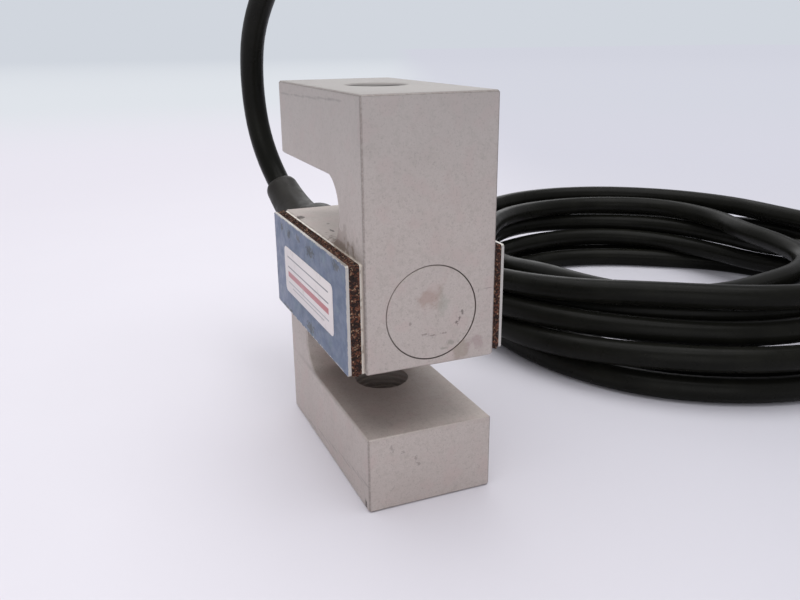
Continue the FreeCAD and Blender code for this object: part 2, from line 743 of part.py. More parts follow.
def check_document():
    doc.recompute()
    for node in doc.Objects:
        faults = [word for word in node.State if word in ("Invalid", "Error")]
        if faults:
            raise RuntimeError(f"{node.Name} {faults}")
    for node in sub_parts:
        shape = node.Shape
        if shape.isNull() or not shape.isValid() or not shape.Solids:
            raise RuntimeError(f"{node.Label} has no valid solid")


def export():
    os.makedirs("parts", exist_ok=True)
    for node in sub_parts:
        node.Shape.exportStep(f"parts/{node.Label}.step")
        print(node.Label, len(node.Shape.Solids), round(node.Shape.Volume, 2))


check_document()
export()
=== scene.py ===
import json
import math

import bmesh
import bpy
import numpy as np
from mathutils import Matrix, Vector

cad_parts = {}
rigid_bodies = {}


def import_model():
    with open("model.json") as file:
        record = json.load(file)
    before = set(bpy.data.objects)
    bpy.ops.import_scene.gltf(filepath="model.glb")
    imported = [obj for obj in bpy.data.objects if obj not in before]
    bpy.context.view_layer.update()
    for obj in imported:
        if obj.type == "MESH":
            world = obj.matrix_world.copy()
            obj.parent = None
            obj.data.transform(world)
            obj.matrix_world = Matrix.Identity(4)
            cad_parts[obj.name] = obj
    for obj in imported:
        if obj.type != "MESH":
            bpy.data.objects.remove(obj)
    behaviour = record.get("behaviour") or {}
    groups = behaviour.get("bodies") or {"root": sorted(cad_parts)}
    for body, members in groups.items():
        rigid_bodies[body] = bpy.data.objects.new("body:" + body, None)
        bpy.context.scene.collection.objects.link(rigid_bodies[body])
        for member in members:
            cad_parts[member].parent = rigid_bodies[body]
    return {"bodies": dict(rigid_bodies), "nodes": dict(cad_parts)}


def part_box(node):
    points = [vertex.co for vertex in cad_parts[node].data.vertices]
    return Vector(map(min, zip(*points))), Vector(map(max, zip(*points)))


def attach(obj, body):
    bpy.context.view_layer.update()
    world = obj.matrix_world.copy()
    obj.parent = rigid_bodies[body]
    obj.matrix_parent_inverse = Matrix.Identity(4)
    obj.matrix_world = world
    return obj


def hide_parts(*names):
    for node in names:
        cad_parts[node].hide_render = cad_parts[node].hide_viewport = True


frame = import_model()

# S type load cell with its coiled cable. Sizes are in millimetres and turned to metres by MM.
MM = 0.001
BODY = next(iter(frame["bodies"]))
nodes = frame["nodes"]
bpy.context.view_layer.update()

# Main sizes of the load cell, as in the part's source
HALF_LENGTH = 25.4
HALF_WIDTH = 12.7
BODY_HEIGHT = 76.2
MIDDLE_HEIGHT = BODY_HEIGHT / 2
BAR_HEIGHT = 15.24
COVER_FACE = 15.65
CABLE_RADIUS = 3.2
PLUG_JOINT = 8.78
# Sides of the turned pieces, and the angle in degrees from which their edges stay crisp
LATHE_SIDES = 48
CRISP_ANGLE = 50


def millimetres(*values):
    return Vector(values) * MM


def link(obj):
    bpy.context.collection.objects.link(obj)
    return obj


def smooth(mesh, angle=CRISP_ANGLE):
    mesh.shade_smooth()
    mesh.set_sharp_from_angle(angle=math.radians(angle))


def piece_from(name, bm, angle=None):
    # Turns a bmesh into a piece, smooth where its faces meet at less than the angle
    mesh = bpy.data.meshes.new(name)
    bm.to_mesh(mesh)
    bm.free()
    if angle is not None:
        smooth(mesh, angle)
    return link(bpy.data.objects.new(name, mesh))


def shade_by_area(obj):
    # Smooth shading in which large flat faces keep flat normals beside their rounded edges
    smooth(obj.data)
    weighted = obj.modifiers.new("weighted", "WEIGHTED_NORMAL")
    weighted.keep_sharp = True
    weighted.weight = 100
    mesh = plain_mesh(obj, obj.name)
    obj.modifiers.remove(weighted)
    obj.data = mesh


def plain_mesh(obj, name):
    # The evaluated shape of an object as a mesh of its own
    depsgraph = bpy.context.evaluated_depsgraph_get()
    mesh = bpy.data.meshes.new_from_object(obj.evaluated_get(depsgraph), depsgraph=depsgraph)
    mesh.name = name
    return mesh


# Node helpers

def add(tree, kind, inputs=None, **settings):
    # Adds a node; an input is given a value, or another node's socket to link from
    node = tree.nodes.new(kind)
    for name, value in settings.items():
        setattr(node, name, value)
    for key, value in (inputs or {}).items():
        if isinstance(value, bpy.types.NodeSocket):
            tree.links.new(value, node.inputs[key])
        else:
            node.inputs[key].default_value = value
    return node


def node_group(name, sockets):
    # A geometry node tree with named inputs, each with its kind and, where it has one, its value
    tree = bpy.data.node_groups.new(name, "GeometryNodeTree")
    tree.interface.new_socket("Geometry", in_out="OUTPUT", socket_type="NodeSocketGeometry")
    for label, kind, value in sockets:
        socket = tree.interface.new_socket(label, in_out="INPUT", socket_type="NodeSocket" + kind)
        if value is not None:
            socket.default_value = value
    return tree, add(tree, "NodeGroupInput").outputs


def colour(text):
    # sRGB hex to linear, with alpha
    channels = [int(text[i:i + 2], 16) / 255 for i in (1, 3, 5)]
    linear = [c / 12.92 if c <= 0.04045 else ((c + 0.055) / 1.055) ** 2.4 for c in channels]
    return (*linear, 1.0)


def per_mm(size):
    # Texture scale for a pattern whose features are this many millimetres across
    return 1.0 / (size * MM)


class Finish:
    """A material with its principled shader, object coordinates and a few pattern builders."""

    def __init__(self, name, base, roughness, metallic=0.0, specular=0.5):
        self.material = bpy.data.materials.new(name)
        self.material.use_nodes = True
        self.tree = self.material.node_tree
        self.shader = self.tree.nodes["Principled BSDF"]
        for label, value in (("Base Color", colour(base)), ("Roughness", roughness),
                             ("Metallic", metallic), ("Specular IOR Level", specular)):
            self.shader.inputs[label].default_value = value
        self.place = add(self.tree, "ShaderNodeTexCoord").outputs["Object"]
        self.tint = self.solid(base)
        self.height = None

    def add(self, kind, inputs=None, **settings):
        return add(self.tree, kind, inputs, **settings)

    def solid(self, text):
        node = self.add("ShaderNodeRGB")
        node.outputs[0].default_value = colour(text)
        return node.outputs[0]

    def noise(self, size, detail=2.0, rough=0.5, shift=0.0):
        place = self.place
        if shift:
            mapping = self.add("ShaderNodeMapping", {"Vector": place, "Location": (shift,) * 3})
            place = mapping.outputs["Vector"]
        texture = self.add("ShaderNodeTexNoise", {"Vector": place, "Scale": per_mm(size),
                                                  "Detail": detail, "Roughness": rough})
        return texture.outputs["Fac"]

    def grains(self, size):
        return self.add("ShaderNodeTexVoronoi", {"Vector": self.place, "Scale": per_mm(size)})

    def ramp(self, value, low, high, from_value=0.0, to_value=1.0):
        node = self.add("ShaderNodeMapRange", {"Value": value, "From Min": low, "From Max": high,
                                               "To Min": from_value, "To Max": to_value})
        node.interpolation_type = "SMOOTHSTEP"
        return node.outputs["Result"]

    def maths(self, operation, first, second=0.0):
        return self.add("ShaderNodeMath", {0: first, 1: second}, operation=operation).outputs[0]

    def axis(self, letter, source=None):
        return self.add("ShaderNodeSeparateXYZ", {"Vector": source or self.place}).outputs[letter]

    def length(self, vector):
        return self.add("ShaderNodeVectorMath", {0: vector}, operation="LENGTH").outputs["Value"]

    def facing(self, letter):
        # How far the surface faces along an axis, either way
        geometry = self.add("ShaderNodeNewGeometry")
        return self.maths("ABSOLUTE", self.axis(letter, geometry.outputs["True Normal"]))

    def apart(self, value, target):
        return self.maths("ABSOLUTE", self.maths("SUBTRACT", value, target))

    def near(self, value, target, reach, fade):
        # 1 where a value in metres is within a reach of a target in millimetres, fading out beyond
        return self.ramp(self.apart(value, target * MM), reach * MM, (reach + fade) * MM, 1.0, 0.0)

    def spot(self, centre, reach, ragged, grain, soft):
        # 1 inside an oval patch round a centre, both in millimetres, fading out with a ragged edge
        scale = tuple(1.0 / (value * MM) for value in reach)
        shifted = self.add("ShaderNodeVectorMath", {0: self.place, 1: millimetres(*centre)},
                           operation="SUBTRACT").outputs[0]
        shaped = self.add("ShaderNodeVectorMath", {0: shifted, 1: scale},
                          operation="MULTIPLY").outputs[0]
        distance = self.length(shaped)
        rough = self.ramp(self.noise(grain, 3.0), 0.25, 0.75, -ragged, ragged)
        return self.ramp(self.maths("ADD", distance, rough), 1.0 - soft, 1.0, 1.0, 0.0)

    def paint(self, amount, text, strength=1.0):
        # Lays a colour over what is there by an amount between 0 and 1
        if strength != 1.0:
            amount = self.maths("MULTIPLY", amount, strength)
        mix = self.add("ShaderNodeMix", {"Factor": amount, "A": self.tint, "B": colour(text)},
                       data_type="RGBA")
        self.tint = mix.outputs["Result"]

    def mottle(self, size, low, high, text, strength, detail=3.0, rough=0.5, shift=0.0):
        # Paints a colour where a noise of this size rises from one level to another
        self.paint(self.ramp(self.noise(size, detail, rough, shift), low, high), text, strength)

    def stain(self, centre, reach, ragged, grain, text, strength, soft=0.6):
        self.paint(self.spot(centre, reach, ragged, grain, soft), text, strength)

    def drive(self, name, value):
        self.tree.links.new(value, self.shader.inputs[name])

    def rough(self, pattern, low, high):
        # Varies the roughness between two values with a pattern
        self.drive("Roughness", self.ramp(pattern, 0.3, 0.7, low, high))

    def bump(self, value, depth, strength=1.0):
        # Adds relief of a depth in millimetres
        inputs = {"Height": value, "Strength": strength, "Distance": depth * MM}
        if self.height:
            inputs["Normal"] = self.height
        self.height = self.add("ShaderNodeBump", inputs).outputs["Normal"]

    def done(self):
        self.drive("Base Color", self.tint)
        if self.height:
            self.drive("Normal", self.height)
        return self.material


# Materials

# Stains and painted shade on the block: centre, reach, raggedness, grain, colour, strength and, in
# the last, softness.
# Brown dirt beside the gasket, dark patches at the slot, a nick low down and painted shade over the
# lower bar's top
BLOCK_STAINS_AND_SHADE = [
    ((13.5, -12.2, 48.6), (9.0, 1.2, 2.4), 0.6, 1.6, "#6a5442", 0.6),
    ((14.5, -12.7, 50.6), (7.0, 1.0, 2.6), 0.7, 2.0, "#84766a", 0.35),
    ((6.5, -10.9, 48.3), (5.0, 1.0, 1.0), 0.8, 0.9, "#57463a", 0.6),
    ((-15.8, -11.9, 48.3), (2.2, 1.1, 1.6), 0.5, 0.6, "#453830", 0.9),
    ((-1.4, -9.6, 48.3), (1.5, 0.4, 1.0), 0.5, 0.4, "#3b3431", 0.8),
    ((-7.5, -8.4, 48.3), (0.6, 0.4, 1.0), 0.4, 0.4, "#5a5350", 0.7),
    ((23.6, -12.7, 1.2), (0.7, 0.7, 1.2), 0.3, 0.5, "#3a3330", 0.9),
    # Painted shade over the top of the lower bar, inside the lower slot
    ((0.0, -2.0, 15.3), (34.0, 26.0, 1.2), 0.06, 5.0, "#5b5049", 0.5, 1.0),
]
# Stains on the end face: across, up, reach across and up, raggedness, grain, colour and strength.
# Low grease, a scratch beside the plug and faint marks on the lower bar
END_STAINS = [
    (6.0, 30.4, 1.7, 2.3, 0.5, 2.0, "#96897a", 0.5),
    (8.8, 31.7, 2.2, 2.2, 0.6, 2.0, "#a28d8b", 0.5),
    (11.2, 41.3, 1.9, 0.16, 0.4, 2.0, "#867c78", 0.6),
    (9.3, 41.0, 0.2, 0.4, 0.4, 0.8, "#8b827e", 0.5),
    (-3.2, 9.6, 0.35, 0.8, 0.6, 0.6, "#7b726d", 0.45),
    (-2.7, 8.3, 0.4, 0.5, 0.6, 0.6, "#7b726d", 0.45),
    (-7.9, 12.6, 0.5, 0.7, 0.7, 0.5, "#7b726d", 0.4),
    (-5.8, 11.4, 0.4, 0.4, 0.7, 0.5, "#7b726d", 0.4),
]
# Grease on the end plug, in the same columns
PLUG_STAINS = [
    (-0.3, 40.8, 3.0, 2.8, 0.5, 2.2, "#a08478", 0.45),
    (2.4, 39.4, 1.5, 3.0, 0.6, 2.2, "#989c90", 0.35),
    (2.4, 30.9, 1.0, 0.4, 0.5, 1.4, "#8e8d83", 0.6),
    (3.9, 31.9, 1.3, 0.7, 0.5, 1.4, "#8e8d83", 0.6),
    (-4.3, 36.5, 0.4, 0.4, 0.5, 0.6, "#857b76", 0.6),
]
# A dark scuff on the plug that slants down to a thin faint arc: across, up, reach and strength
PLUG_SCUFF = [
    (6.05, 37.35, 0.3, 0.6, 0.65), (5.55, 36.3, 0.28, 0.65, 0.7), (5.0, 35.4, 0.35, 0.55, 0.7),
    (-1.4, 34.15, 1.0, 0.2, 0.45), (0.4, 33.78, 1.3, 0.17, 0.45), (2.2, 33.9, 0.9, 0.2, 0.45),
]
# Faint scratches on the front face, close under its top edge and rising from its bottom edge
SCRATCHES = [(-20.0, 73.75), (-11.0, 73.9), (-2.0, 74.1), (6.0, 74.4), (12.0, 74.6),
             (-12.0, 1.2), (-3.0, 2.35), (4.0, 3.2), (11.0, 4.05), (18.0, 4.85), (22.5, 5.4)]
# Grime on the cover: across, up and reach
COVER_GRIME = [
    (-12.0, 45.8, 1.4, 1.5), (-17.5, 46.2, 1.0, 1.2), (3.3, 45.6, 3.2, 1.3), (-4.8, 46.4, 1.6, 0.8),
    (-15.5, 28.0, 4.5, 0.9), (1.5, 29.4, 3.4, 1.3), (19.0, 47.0, 2.2, 1.0),
]


def blasted_surface(finish):
    # What the blasted faces share: a fine even grain, a soft cloud of tone, a faint mottle and dark
    # specks, with a painted line of shade round the end plug's joint
    fine = finish.noise(0.22, 2.0, 0.6)
    cloud = finish.noise(9.0, 3.0, 0.5)
    finish.paint(finish.ramp(fine, 0.35, 0.65), "#c8bfb9", 0.6)
    finish.paint(finish.ramp(cloud, 0.45, 0.7), "#b7aca6", 0.4)
    finish.mottle(1.0, 0.48, 0.66, "#aaa199", 0.35, rough=0.65)
    finish.mottle(4.0, 0.5, 0.68, "#c0b0ab", 0.5, detail=2.0, shift=0.03)
    finish.mottle(0.34, 0.58, 0.72, "#908681", 0.3, detail=1.0)
    # Painted shade: a dark ring in the joint round the end plug, kept even all the way round
    level = finish.maths("SUBTRACT", finish.axis("Z"), MIDDLE_HEIGHT * MM)
    from_axis = finish.add("ShaderNodeCombineXYZ", {"Y": finish.axis("Y"), "Z": level})
    joint_shade = finish.near(finish.length(from_axis.outputs[0]), PLUG_JOINT, 0.05, 0.1)
    at_end = finish.ramp(finish.axis("X"), (HALF_LENGTH - 3.5) * MM, (HALF_LENGTH - 3.3) * MM)
    finish.paint(finish.maths("MULTIPLY", joint_shade, at_end), "#3a2a24", 0.6)
    finish.rough(fine, 0.50, 0.60)
    finish.bump(fine, 0.03, 0.5)
    finish.bump(cloud, 0.05, 0.2)


def clear_anodised_aluminium():
    # Bead blasted 2000 series aluminium under a clear anodic film: dull satin, a little warm, with
    # a fine even grain. The film scatters much of the light, so the shader is only part metal.
    finish = Finish("clear_anodised_aluminium", "#bbb1ab", 0.55, 0.45)
    blasted_surface(finish)
    # Painted shade, with a little old grease, darkens the threads below their mouths, most of all in
    # the upper hole
    level = finish.axis("Z")
    from_axis = finish.add("ShaderNodeCombineXYZ", {"X": finish.axis("X"), "Y": finish.axis("Y")})
    inside = finish.ramp(finish.length(from_axis.outputs[0]), (THREAD_ROOT + 0.05) * MM,
                         (THREAD_ROOT + 0.2) * MM, 1.0, 0.0)
    offset = finish.apart(level, MIDDLE_HEIGHT * MM)
    below_mouth = finish.ramp(offset, (MIDDLE_HEIGHT - 0.35) * MM, (MIDDLE_HEIGHT - 0.1) * MM, 1, 0)
    bar_start = MIDDLE_HEIGHT - BAR_HEIGHT
    off_slot = finish.ramp(offset, bar_start * MM, (bar_start + 0.15) * MM)
    grease_and_shade = finish.maths("MULTIPLY", inside, finish.maths("MULTIPLY", below_mouth, off_slot))
    in_upper_hole = finish.ramp(level, 40 * MM, 50 * MM)
    finish.paint(grease_and_shade, "#6f665f", 0.5)
    # The deepest painted shade, in the upper hole
    finish.paint(finish.maths("MULTIPLY", grease_and_shade, in_upper_hole), "#2f2b28", 0.94)
    # Painted shade greys the tone towards the top, and the loading face is painted darker still
    finish.paint(finish.ramp(level, 50 * MM, BODY_HEIGHT * MM), "#a8a6a4", 0.35)
    finish.paint(finish.near(level, BODY_HEIGHT, 0.1, 0.3), "#8f8c8a", 0.7)
    # The outer edges are worn and grimy: a thin uneven darker line along them
    at_x = finish.near(finish.maths("ABSOLUTE", finish.axis("X")), HALF_LENGTH, 0.25, 0.2)
    at_y = finish.near(finish.maths("ABSOLUTE", finish.axis("Y")), HALF_WIDTH, 0.25, 0.2)
    at_top = finish.near(level, BODY_HEIGHT, 0.25, 0.2)
    upright_edges = finish.maths("MULTIPLY", at_x, at_y)
    top_edges = finish.maths("MULTIPLY", at_top, finish.maths("MAXIMUM", at_x, at_y))
    worn = finish.maths("MAXIMUM", upright_edges, top_edges)
    uneven = finish.ramp(finish.noise(0.6, 3.0), 0.35, 0.6, 0.5, 1.0)
    finish.paint(finish.maths("MULTIPLY", worn, uneven), "#857c77", 0.7)
    # The stains, and the painted shade over the lower bar's top
    for stain in BLOCK_STAINS_AND_SHADE:
        finish.stain(*stain)
    end_face_stains(finish, END_STAINS, 0.6)
    for across, up in SCRATCHES:
        finish.stain((across, -HALF_WIDTH, up), (6.5, 0.4, 0.3), 0.3, 1.6, "#857e7b", 0.4, 0.8)
    return finish.done()


def end_face_stains(finish, stains, soft):
    for across, up, wide, high, *look in stains:
        finish.stain((HALF_LENGTH, across, up), (2.0, wide, high), *look, soft)


def turned_aluminium():
    # The end plug: faced in a lathe, then blasted and anodised, with grease marks near its middle
    finish = Finish("turned_aluminium", "#bbb1ab", 0.55, 0.45)
    blasted_surface(finish)
    end_face_stains(finish, PLUG_STAINS, 0.9)
    for across, up, wide, high, strength in PLUG_SCUFF:
        finish.stain((HALF_LENGTH, across, up), (2.0, wide, high), 0.6, 0.5, "#5f5551", strength)
    return finish.done()


def barrier_foil():
    # Bright rolled foil, seen only as a thin cut edge against the gasket
    finish = Finish("barrier_foil", "#d6cfc4", 0.4, 0.5)
    finish.mottle(1.2, 0.52, 0.7, "#8c7a6a", 0.6)
    finish.rough(finish.noise(0.8), 0.28, 0.5)
    return finish.done()


def cork_composition():
    # Ground cork bound with nitrile rubber: rust brown 0.3 mm granules in a nearly black binder
    finish = Finish("cork_composition", "#2a1914", 0.9)
    cells = finish.grains(0.3)
    shade = finish.axis("X", cells.outputs["Color"])
    finish.paint(finish.ramp(shade, 0.45, 0.8), "#6c402e", 0.9)
    finish.paint(finish.ramp(shade, 0.89, 0.93), "#a98d72", 0.6)
    finish.mottle(1.6, 0.46, 0.6, "#170d0b", 0.4)
    finish.bump(cells.outputs["Distance"], 0.2, 0.7)
    return finish.done()


def blue_cover(side):
    # Thin aluminium sheet with a flat steel blue printed face; shear cut edges are bare and bright.
    # The print is worn through along the border, grimy in places and dusty at the cable's end.
    finish = Finish(side + "_blue_cover", "#53637e", 0.46)
    finish.mottle(5.0, 0.42, 0.62, "#475871", 0.75, detail=4.0, rough=0.6)
    finish.mottle(3.0, 0.52, 0.70, "#58707c", 0.55, rough=0.6, shift=0.05)
    finish.mottle(0.5, 0.55, 0.75, "#63738f", 0.4, detail=2.0)
    dusty = finish.ramp(finish.axis("X"), -8.0 * MM, -23.0 * MM)
    patchy = finish.ramp(finish.noise(4.0, 3.0), 0.3, 0.6)
    finish.paint(finish.maths("MULTIPLY", dusty, patchy), "#8288a0", 0.55)
    for across, up, wide, high in COVER_GRIME:
        finish.stain((across, -COVER_FACE, up), (wide, 1, high), 0.6, 0.6, "#2c353b", 0.9)
    border = border_of_cover(finish, side + "_cover_plate", 0.35)
    worn = finish.maths("MULTIPLY", border, finish.ramp(finish.noise(0.9, 3.0), 0.42, 0.6))
    edge = finish.ramp(finish.facing("Y"), 0.9, 0.6)
    bare = finish.maths("MAXIMUM", worn, edge)
    finish.paint(bare, "#c8c4be")
    finish.drive("Metallic", finish.maths("MULTIPLY", bare, 0.9))
    finish.rough(finish.noise(1.5), 0.36, 0.5)
    finish.bump(finish.noise(0.6), 0.02, 0.4)
    return finish.done()


def border_of_cover(finish, plate, breadth):
    # 1 within a breadth of the plate's edge and 0 inside it
    low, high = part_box(plate)
    centre = (Vector(low) + Vector(high)) / 2
    half = (Vector(high) - Vector(low)) / 2
    reaches = []
    for letter, middle, extent in (("X", centre.x, half.x), ("Z", centre.z, half.z)):
        offset = finish.apart(finish.axis(letter), middle)
        reaches.append(finish.ramp(offset, extent - breadth * MM, extent))
    return finish.maths("MAXIMUM", *reaches)


def label_print(centre, turn):
    # White vinyl label with plain fields of colour for print: a dull red band and thin grey rules
    finish = Finish("label_print", "#e2dad9", 0.4)
    centred = finish.add("ShaderNodeMapping", {"Vector": finish.place, "Location": -centre})
    turned = finish.add("ShaderNodeMapping", {"Vector": centred.outputs["Vector"],
                                              "Rotation": (0, turn, 0)})
    across = finish.maths("ABSOLUTE", finish.axis("X", turned.outputs["Vector"]))
    level = finish.axis("Z", turned.outputs["Vector"])
    for low, high, reach, text, strength in (
            (-1.35, -0.15, 14.0, "#b5666b", 0.95), (0.7, 1.0, 14.0, "#4b5058", 0.8),
            (2.9, 3.2, 14.0, "#4b5058", 0.8), (-2.7, -2.45, 14.0, "#8d8f95", 0.8),
            (-3.5, -3.25, 11.0, "#8d8f95", 0.8)):
        middle = (low + high) / 2
        half = (high - low) / 2
        offset = finish.apart(level, middle * MM)
        band = finish.ramp(offset, (half - 0.06) * MM, (half + 0.06) * MM, 1.0, 0.0)
        inside = finish.ramp(across, (reach - 0.1) * MM, (reach + 0.1) * MM, 1.0, 0.0)
        finish.paint(finish.maths("MULTIPLY", band, inside), text, strength)
    finish.mottle(2.5, 0.55, 0.75, "#b9b0a8", 0.5, detail=4.0)
    return finish.done()


def cable_jacket():
    # Extruded black polyurethane: near black and satin, with a faint haze of handling dust
    finish = Finish("cable_jacket", "#141411", 0.32, specular=0.08)
    finish.mottle(12.0, 0.45, 0.7, "#1b1b17", 0.7, detail=4.0, rough=0.6)
    finish.mottle(0.6, 0.74, 0.78, "#4a4844", 0.3, detail=2.0)
    finish.rough(finish.noise(5.0, 3.0), 0.26, 0.36)
    finish.bump(finish.noise(0.8, 3.0), 0.03, 0.35)
    return finish.done()


def moulded_rubber():
    # The strain relief: black rubber from a sparked mould, greyer and duller than the jacket
    finish = Finish("moulded_rubber", "#262421", 0.52, specular=0.22)
    finish.mottle(4.0, 0.45, 0.7, "#302d29", 0.6)
    finish.mottle(0.5, 0.7, 0.76, "#64615c", 0.4, detail=2.0)
    finish.rough(finish.noise(2.0, 3.0), 0.42, 0.58)
    finish.bump(finish.noise(0.45, 2.0), 0.04, 0.4)
    return finish.done()


def shrunk_tubing():
    # Heat shrunk polyolefin: black, faintly wrinkled across the cable
    finish = Finish("shrunk_tubing", "#1a1a1b", 0.38)
    finish.mottle(2.0, 0.5, 0.7, "#252526", 0.8)
    finish.bump(finish.noise(1.4, 3.0), 0.08, 0.4)
    return finish.done()


def small_finish(name, base, second, size, roughness, metallic=0.0):
    # A finish for a small piece: two shades mottled at one size, with relief and gloss that follow
    finish = Finish(name, base, roughness, metallic)
    mottle = finish.noise(size, 3.0)
    finish.paint(finish.ramp(mottle, 0.4, 0.65), second, 0.8)
    finish.rough(mottle, roughness - 0.06, roughness + 0.08)
    finish.bump(mottle, 0.02, 0.4)
    return finish.done()


def dress(node_names, material):
    for name in node_names:
        node = nodes[name]
        if not node.material_slots:
            node.data.materials.append(material)
        for slot in node.material_slots:
            slot.link = "OBJECT"
            slot.material = material


def both(name):
    return ["front_" + name, "rear_" + name]


# Threads, cut into a copy of the body by a helical cutter

THREAD_PITCH = 1.27
THREAD_TURNS = 12.3
THREAD_ROOT = 6.3
CUTTER_CORE = 5.3
THREAD_STEPS = 64
# Half the width of the V's foot and of its tip, as shares of the pitch
FOOT_SHARE = 0.468
TIP_SHARE = 0.07
# The lower thread starts one turn below the body, and the upper one this far above its slot
UPPER_RUN_OUT = 0.9


def thread_cutter_tree():
    # A spiral swept with a V profile; its inputs are the pitch, the turns and the V's two radii
    tree, inputs = node_group("thread_cutter", (
        ("Pitch", "Float", THREAD_PITCH * MM), ("Turns", "Float", THREAD_TURNS),
        ("Core Radius", "Float", CUTTER_CORE * MM), ("Root Radius", "Float", THREAD_ROOT * MM)))
    height = add(tree, "ShaderNodeMath", {0: inputs["Pitch"], 1: inputs["Turns"]},
                 operation="MULTIPLY").outputs[0]
    spiral = add(tree, "GeometryNodeCurveSpiral",
                 {"Resolution": THREAD_STEPS, "Rotations": inputs["Turns"], "Height": height,
                  "Start Radius": inputs["Core Radius"], "End Radius": inputs["Core Radius"]})
    upright = add(tree, "GeometryNodeSetCurveNormal", {"Curve": spiral.outputs[0]}, mode="Z_UP")
    # The sweep turns the profile's X towards the axis, so the V's depth is taken as negative
    depth = add(tree, "ShaderNodeMath", {0: inputs["Core Radius"], 1: inputs["Root Radius"]},
                operation="SUBTRACT").outputs[0]
    profile = add(tree, "GeometryNodeCurvePrimitiveQuadrilateral", mode="POINTS")
    half_foot = FOOT_SHARE * THREAD_PITCH * MM
    half_tip = TIP_SHARE * THREAD_PITCH * MM
    # Corners in the order that turns the swept faces outwards, so that the cutter takes metal away
    for index, (side, out) in enumerate(((half_foot, False), (half_tip, True), (-half_tip, True),
                                         (-half_foot, False)), start=1):
        corner = add(tree, "ShaderNodeCombineXYZ", {"X": depth if out else 0.0, "Y": side})
        tree.links.new(corner.outputs["Vector"], profile.inputs[f"Point {index}"])
    swept = add(tree, "GeometryNodeCurveToMesh", {"Curve": upright.outputs["Curve"],
                                                  "Profile Curve": profile.outputs["Curve"],
                                                  "Fill Caps": True})
    add(tree, "NodeGroupOutput", {"Geometry": swept.outputs["Mesh"]})
    return tree


def threaded_body():
    source = nodes["spring_element"]
    bm = bmesh.new()
    bm.from_mesh(source.data)
    bmesh.ops.remove_doubles(bm, verts=bm.verts, dist=1e-6)
    body = piece_from("spring_body", bm)
    for attribute in [a for a in body.data.attributes if a.name == "custom_normal"]:
        body.data.attributes.remove(attribute)
    cutter_tree = thread_cutter_tree()
    cutters = []
    # The threads stop short of the slots, where the plain bore shows
    for start in (-THREAD_PITCH, BODY_HEIGHT - BAR_HEIGHT + UPPER_RUN_OUT):
        cutter = link(bpy.data.objects.new("thread_cutter", bpy.data.meshes.new("thread_cutter")))
        modifier = cutter.modifiers.new("helix", "NODES")
        modifier.node_group = cutter_tree
        mesh = plain_mesh(cutter, "thread_cutter")
        mesh.transform(Matrix.Translation(millimetres(0, 0, start)))
        cutter.modifiers.remove(modifier)
        cutter.data = mesh
        cut = body.modifiers.new("thread", "BOOLEAN")
        cut.operation = "DIFFERENCE"
        cut.solver = "EXACT"
        cut.object = cutter
        cutters.append(cutter)
    mesh = plain_mesh(body, "spring_body")
    body.modifiers.clear()
    body.data = mesh
    for cutter in cutters:
        bpy.data.objects.remove(cutter)
    shade_by_area(body)
    return body


# Cable route: the stretch in the air, the loose turns and the free end

# Through the strain relief, up, over behind the body and down to the coil, as in the part's source
ROUTE = [
    (-15.4, 0.0, 38.1), (-36.4, 0.0, 38.1), (-56.4, 1.6, 35.8), (-74.5, 0.0, 41.5),
    (-84.5, -3.9, 56.0), (-85.3, -5.4, 73.2), (-77.0, -5.6, 89.0), (-60.0, -2.0, 104.0),
    (-36.0, 9.0, 114.5),
    (-6.0, 30.0, 119.0), (19.0, 59.0, 114.0), (32.0, 94.0, 99.0), (33.0, 127.0, 75.0),
    (22.0, 152.0, 48.0), (1.0, 168.0, 31.0), (-24.0, 171.0, 24.0),
]

COIL_CENTRE = (-47.0, 113.0)
COIL_TURN = math.radians(48.6)
# Each turn's radius and height at eight directions, 45 degrees apart, counter-clockwise from the
# right; the first turn starts at the second direction, where the cable comes down
TURN_RADII = [
    [56, 69, 74, 66, 65.5, 60.5, 64.8],
    [55, 47.5, 59, 64, 56.5, 43.8, 50, 40],
    [43, 37.8, 61.5, 63, 54, 59.5, 58, 59],
    [58.5, 60.5, 67, 72, 66, 66, 63, 63.8],
    [66, 46.5, 56, 59.5, 60.3, 64, 69, 69.8],
    [61.5, 63, 51.8, 55, 53.5, 51, 50.5, 63.5],
    [66, 69.8, 58.5, 62, 60.2, 59, 68.5, 69.6],
]
TURN_HEIGHTS = [
    [23.8, 24, 23.6, 21.5, 20, 24.2, 23.8],
    [20.5, 14.8, 14.5, 14.1, 12.9, 18.5, 19.5, 19.5],
    [20.5, 21.5, 21.5, 21, 22, 16.5, 18.2, 18.5],
    [15.5, 18.6, 14.5, 14.5, 15, 14.2, 15.6, 15.4],
    [13.2, 10.6, 9, 11.4, 11.8, 9.4, 11.6, 11.4],
    [6.6, 3.6, 3.2, 3.2, 3.2, 3.2, 3.2, 3.2],
    [3.2, 3.2, 3.2, 3.2, 3.2, 3.2, 3.2, 3.2],
]
DIRECTIONS = 8
# A control polygon of 16 sides lies this much outside the curve that it makes
POLYGON_EXCESS = 1.02
# Places to a control point on a path that a piece follows
PATH_STEPS = 12
# For the settling: samples to a control point, control points that belong together, and rounds
LINE_SAMPLES = 6
NEIGHBOURS = 4
SETTLE_ROUNDS = 60
# The free end in the coil's own directions: across the view, towards the front, height
TAIL = [(60.0, 33.0, 3.2), (69.5, 12.0, 3.9), (73.0, -12.0, 3.9)]


def on_floor(across, towards, height):
    x = COIL_CENTRE[0] + across * math.cos(COIL_TURN) + towards * math.sin(COIL_TURN)
    y = COIL_CENTRE[1] + across * math.sin(COIL_TURN) - towards * math.cos(COIL_TURN)
    return x, y, height


def halfway(values):
    # The values with one more between each two, on a smooth curve through them
    padded = [2 * values[0] - values[1], *values, 2 * values[-1] - values[-2]]
    result = []
    for before, left, right, after in zip(padded, padded[1:], padded[2:], padded[3:]):
        result += [left, (9 * (left + right) - before - after) / 16]
    return result + [values[-1]]


